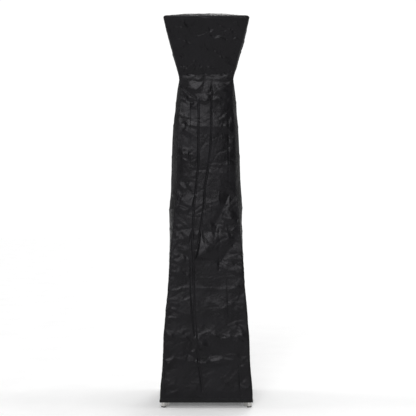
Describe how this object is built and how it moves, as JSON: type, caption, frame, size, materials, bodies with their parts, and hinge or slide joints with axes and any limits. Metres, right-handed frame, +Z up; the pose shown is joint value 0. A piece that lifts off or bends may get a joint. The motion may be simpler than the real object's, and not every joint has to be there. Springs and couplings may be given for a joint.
{
  "type": "covered patio heater",
  "caption": "Square flame-tower gas patio heater on four leaning corner posts, wearing its fitted weather cover with flared hood and back zip.",
  "frame": {"origin": "on the floor in the middle of the four feet", "axes": "+Z up the heater's axis, -Y towards the front (cabinet door and control knob), +X to the right seen from the front"},
  "size_m": [0.528, 0.528, 2.27],
  "materials": {
    "stainless": "brushed stainless",
    "black_plastic": "moulded, fine texture",
    "red_plastic": "gloss",
    "galvanised": "zinc coated, dull",
    "plated_steel": "bright zinc plated",
    "brass": "machined",
    "heatproof_steel": "heat-stained",
    "ceramic": "glazed",
    "cylinder_paint": "gloss paint",
    "handwheel_plastic": "moulded",
    "regulator_metal": "die cast",
    "hose_rubber": "matt",
    "seat_ring_aluminium": "turned",
    "flame_glass": "clear borosilicate",
    "guard_paint": "satin black",
    "reflector_aluminium": "bright rolled",
    "cover_cloth": "coated polyester with a soft sheen",
    "cover_binding": "woven tape",
    "zip_plastic": "coil",
    "zip_metal": "nickel plated"
  },
  "bodies": {
    "heater": {"base_shelf": "galvanised", "burner_deck": "galvanised", "burner_head": "heatproof_steel", "control_fascia": "stainless", "corner_post_front_left": "stainless", "corner_post_front_right": "stainless", "corner_post_rear_left": "stainless", "corner_post_rear_right": "stainless", "cylinder_collar": "cylinder_paint", "cylinder_foot_ring": "cylinder_paint", "cylinder_valve": "brass", "door_catch": "plated_steel", "door_hinge_knuckles": "plated_steel", "door_hinge_pins": "plated_steel", "flame_sensor": "heatproof_steel", "foot_shoes": "black_plastic", "gas_cylinder": "cylinder_paint", "gas_hose": "hose_rubber", "gas_valve": "brass", "glass_tube": "flame_glass", "guard_front": "guard_paint", "guard_left": "guard_paint", "guard_rear": "guard_paint", "guard_right": "guard_paint", "heat_deflector": "heatproof_steel", "heat_shield": "galvanised", "igniter_body": "black_plastic", "injector": "brass", "panel_screws": "plated_steel", "rear_panel": "stainless", "reflector": "reflector_aluminium", "reflector_rods": "plated_steel", "regulator": "regulator_metal", "rod_nuts": "plated_steel", "shelf_rails": "galvanised", "side_panel_left": "stainless", "side_panel_right": "stainless", "spark_lead": "ceramic", "tilt_switch": "black_plastic", "top_plate": "stainless", "tube_collar": "heatproof_steel", "tube_seat_ring": "seat_ring_aluminium", "venturi_tube": "heatproof_steel"},
    "door": {"door_panel": "stainless", "door_pull": "plated_steel"},
    "valve_push": {"valve_stem": "brass"},
    "knob": {"control_knob": "black_plastic"},
    "igniter": {"igniter_button": "red_plastic"},
    "handwheel": {"cylinder_handwheel": "handwheel_plastic"},
    "cover": {"cover_back_left_panel": "cover_cloth", "cover_back_right_panel": "cover_cloth", "cover_front_panel": "cover_cloth", "cover_hem_binding": "cover_binding", "cover_left_panel": "cover_cloth", "cover_right_panel": "cover_cloth", "cover_top_panel": "cover_cloth", "cover_zip_tapes": "cover_binding", "cover_zip_teeth": "zip_plastic"},
    "slider": {"zip_slider": "zip_metal"},
    "pull": {"zip_pull": "zip_metal"}
  },
  "joints": [
    {"name": "door_hinge", "type": "hinge", "parent": "heater", "child": "door", "pos_m": [-0.224, -0.24749, 0.00023], "axis": [-0.076, -0.076, -0.9942], "range_deg": [0, 110]},
    {"name": "valve_press", "type": "slide", "parent": "heater", "child": "valve_push", "axis": [0, 0.9971, -0.0762], "range_m": [0, 0.0035], "stiffness_N_per_m": 800},
    {"name": "knob_turn", "type": "hinge", "parent": "valve_push", "child": "knob", "pos_m": [0, -0.19884, 0.72876], "axis": [0, -0.9971, 0.0762], "range_deg": [0, 180]},
    {"name": "igniter_press", "type": "slide", "parent": "heater", "child": "igniter", "axis": [0, 0.9971, -0.0762], "range_m": [0, 0.005], "stiffness_N_per_m": 500},
    {"name": "cylinder_valve_turn", "type": "hinge", "parent": "heater", "child": "handwheel", "pos_m": [0, 0, 0.545], "axis": [0, 0, 1], "range_deg": [0, 720]},
    {"name": "cover_lift", "type": "slide", "parent": "heater", "child": "cover", "axis": [0, 0, 1], "range_m": [0, 2.3], "deforming": ["cover_back_left_panel", "cover_back_right_panel", "cover_front_panel", "cover_hem_binding", "cover_left_panel", "cover_right_panel", "cover_top_panel", "cover_zip_tapes", "cover_zip_teeth"]},
    {"name": "zip_run", "type": "slide", "parent": "cover", "child": "slider", "axis": [0, 0.0579, -0.9983], "range_m": [0, 1.03]},
    {"name": "pull_swing", "type": "hinge", "parent": "slider", "child": "pull", "pos_m": [0, 0.1641, 1.83908], "axis": [1, 0, 0], "range_deg": [0, 165]}
  ]
}
